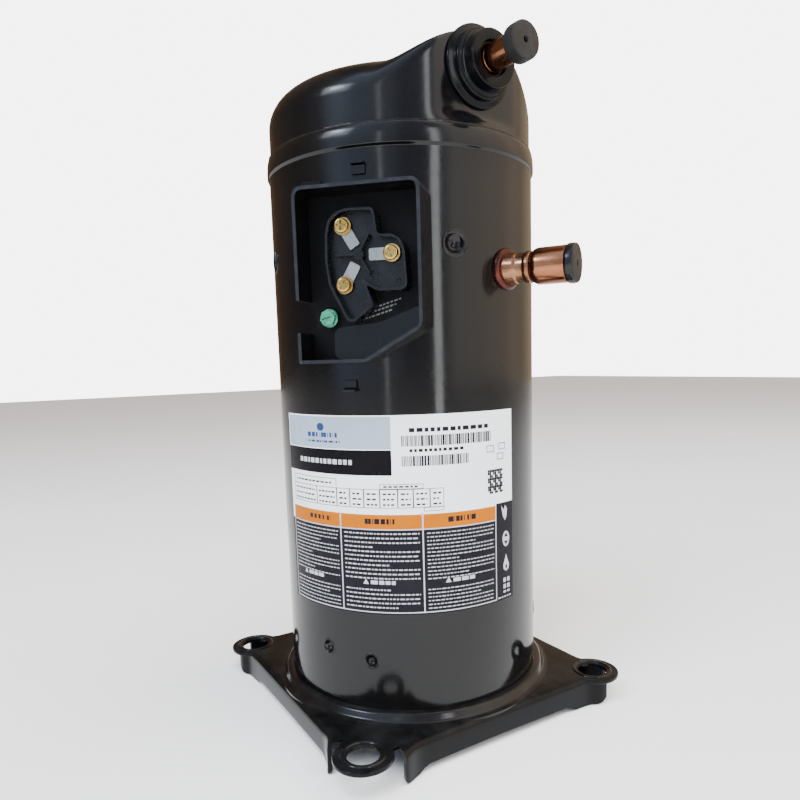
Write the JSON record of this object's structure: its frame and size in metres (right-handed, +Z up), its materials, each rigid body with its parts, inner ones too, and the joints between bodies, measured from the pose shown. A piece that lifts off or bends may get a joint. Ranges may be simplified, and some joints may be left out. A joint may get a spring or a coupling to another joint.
{
  "type": "scroll compressor",
  "caption": "Upright hermetic scroll compressor on a square four-lobed base, with copper stubs, an open terminal box, and its motor and scroll pump inside.",
  "frame": {"origin": "on the shell's axis, in the plane that the base's feet and the bottom cap rest on", "axes": "+Z up along the shell's axis; X and Y parallel to the base plate's sides; the discharge stub points 2.5 degrees from +X towards +Y and the terminal box faces between +X and -Y"},
  "size_m": [0.2483, 0.228, 0.4475],
  "materials": {
    "black_paint": "gloss black paint",
    "label_film": "printed film",
    "copper": "drawn copper tube",
    "plated_steel": "copper-plated steel",
    "rubber": "matt",
    "moulding": "moulded thermoset",
    "tinned_metal": "tin plate",
    "brass": "plain",
    "green_screw": "dyed zinc plate",
    "machined_steel": "machined",
    "cast_iron": "as cast, machined faces",
    "cast_aluminium": "die cast",
    "winding_enamel": "enamelled copper wire",
    "laminations": "stacked laminations",
    "bearing_bronze": "bearing bronze"
  },
  "bodies": {
    "housing": {"base_plate": "black_paint", "bottom_cap": "black_paint", "check_valve_seat": "machined_steel", "cover_clip_lower": "black_paint", "cover_clip_upper": "black_paint", "discharge_fitting": "black_paint", "discharge_stub": "copper", "ground_boss": "black_paint", "ground_screw": "green_screw", "hermetic_terminal": "machined_steel", "label": "label_film", "lower_bearing_bush": "bearing_bronze", "lower_bearing_housing": "cast_iron", "lower_winding": "winding_enamel", "main_bearing_bush": "bearing_bronze", "main_bearing_housing": "cast_iron", "motor_protector": "moulding", "muffler_plate": "machined_steel", "pressure_relief_valve": "brass", "scroll_bolt_1": "machined_steel", "scroll_bolt_2": "machined_steel", "scroll_bolt_3": "machined_steel", "scroll_bolt_4": "machined_steel", "shell_tube": "black_paint", "stator_core": "laminations", "suction_baffle": "machined_steel", "suction_fitting": "plated_steel", "suction_stub": "copper", "sump_magnet": "cast_iron", "terminal_block": "moulding", "terminal_box": "black_paint", "terminal_pin_1": "tinned_metal", "terminal_pin_2": "tinned_metal", "terminal_pin_3": "tinned_metal", "terminal_screw_1": "brass", "terminal_screw_2": "brass", "terminal_screw_3": "brass", "terminal_tab_1": "tinned_metal", "terminal_tab_2": "tinned_metal", "terminal_tab_3": "tinned_metal", "thrust_washer": "machined_steel", "top_cap": "black_paint", "upper_winding": "winding_enamel"},
    "crank_assembly": {"crankshaft": "machined_steel", "oil_pickup": "machined_steel", "rotor_core": "laminations", "rotor_lower_ring": "cast_aluminium", "rotor_upper_ring": "cast_aluminium", "upper_counterweight": "cast_iron", "lower_counterweight": "cast_iron"},
    "eccentric_bushing": {"drive_bushing": "machined_steel"},
    "orbiting_part": {"orbiting_scroll": "cast_iron", "drive_bearing": "bearing_bronze"},
    "oldham_coupling": {"oldham_ring": "cast_aluminium"},
    "fixed_scroll": {"non_orbiting_scroll": "cast_iron"},
    "discharge_valve_part": {"discharge_valve": "machined_steel"},
    "seal_part": {"floating_seal": "cast_iron"},
    "check_valve_part": {"check_valve_disc": "machined_steel"},
    "suction_plug_part": {"suction_plug": "rubber"},
    "discharge_plug_part": {"discharge_plug": "rubber"}
  },
  "joints": [
    {"name": "crank_spin", "type": "hinge", "parent": "housing", "child": "crank_assembly", "pos_m": [0, 0, 0.15], "axis": [0, 0, 1], "continuous": true},
    {"name": "bush_slide", "type": "slide", "parent": "crank_assembly", "child": "eccentric_bushing", "axis": [0, 1, 0], "range_m": [-0.0015, 0]},
    {"name": "scroll_counter_spin", "type": "hinge", "parent": "eccentric_bushing", "child": "orbiting_part", "pos_m": [0, 0.0049, 0.313], "axis": [0, 0, 1], "continuous": true},
    {"name": "oldham_slide", "type": "slide", "parent": "housing", "child": "oldham_coupling", "axis": [1, 0, 0], "range_m": [-0.0049, 0.0049]},
    {"name": "scroll_float", "type": "slide", "parent": "housing", "child": "fixed_scroll", "axis": [0, 0, 1], "range_m": [0, 0.001]},
    {"name": "discharge_valve_lift", "type": "slide", "parent": "fixed_scroll", "child": "discharge_valve_part", "axis": [0, 0, 1], "range_m": [0, 0.002]},
    {"name": "seal_float", "type": "slide", "parent": "housing", "child": "seal_part", "axis": [0, 0, 1], "range_m": [0, 0.001]},
    {"name": "check_valve_lift", "type": "slide", "parent": "housing", "child": "check_valve_part", "axis": [0.999, 0.0436, 0], "range_m": [0, 0.003]},
    {"name": "suction_plug_pull", "type": "slide", "parent": "housing", "child": "suction_plug_part", "axis": [0.866, 0.5, 0], "range_m": [0, 0.03]},
    {"name": "discharge_plug_pull", "type": "slide", "parent": "housing", "child": "discharge_plug_part", "axis": [0.999, 0.0436, 0], "range_m": [0, 0.03]}
  ],
  "couplings": [
    {"joint": "scroll_counter_spin", "follows": "crank_spin", "ratio": -1}
  ]
}
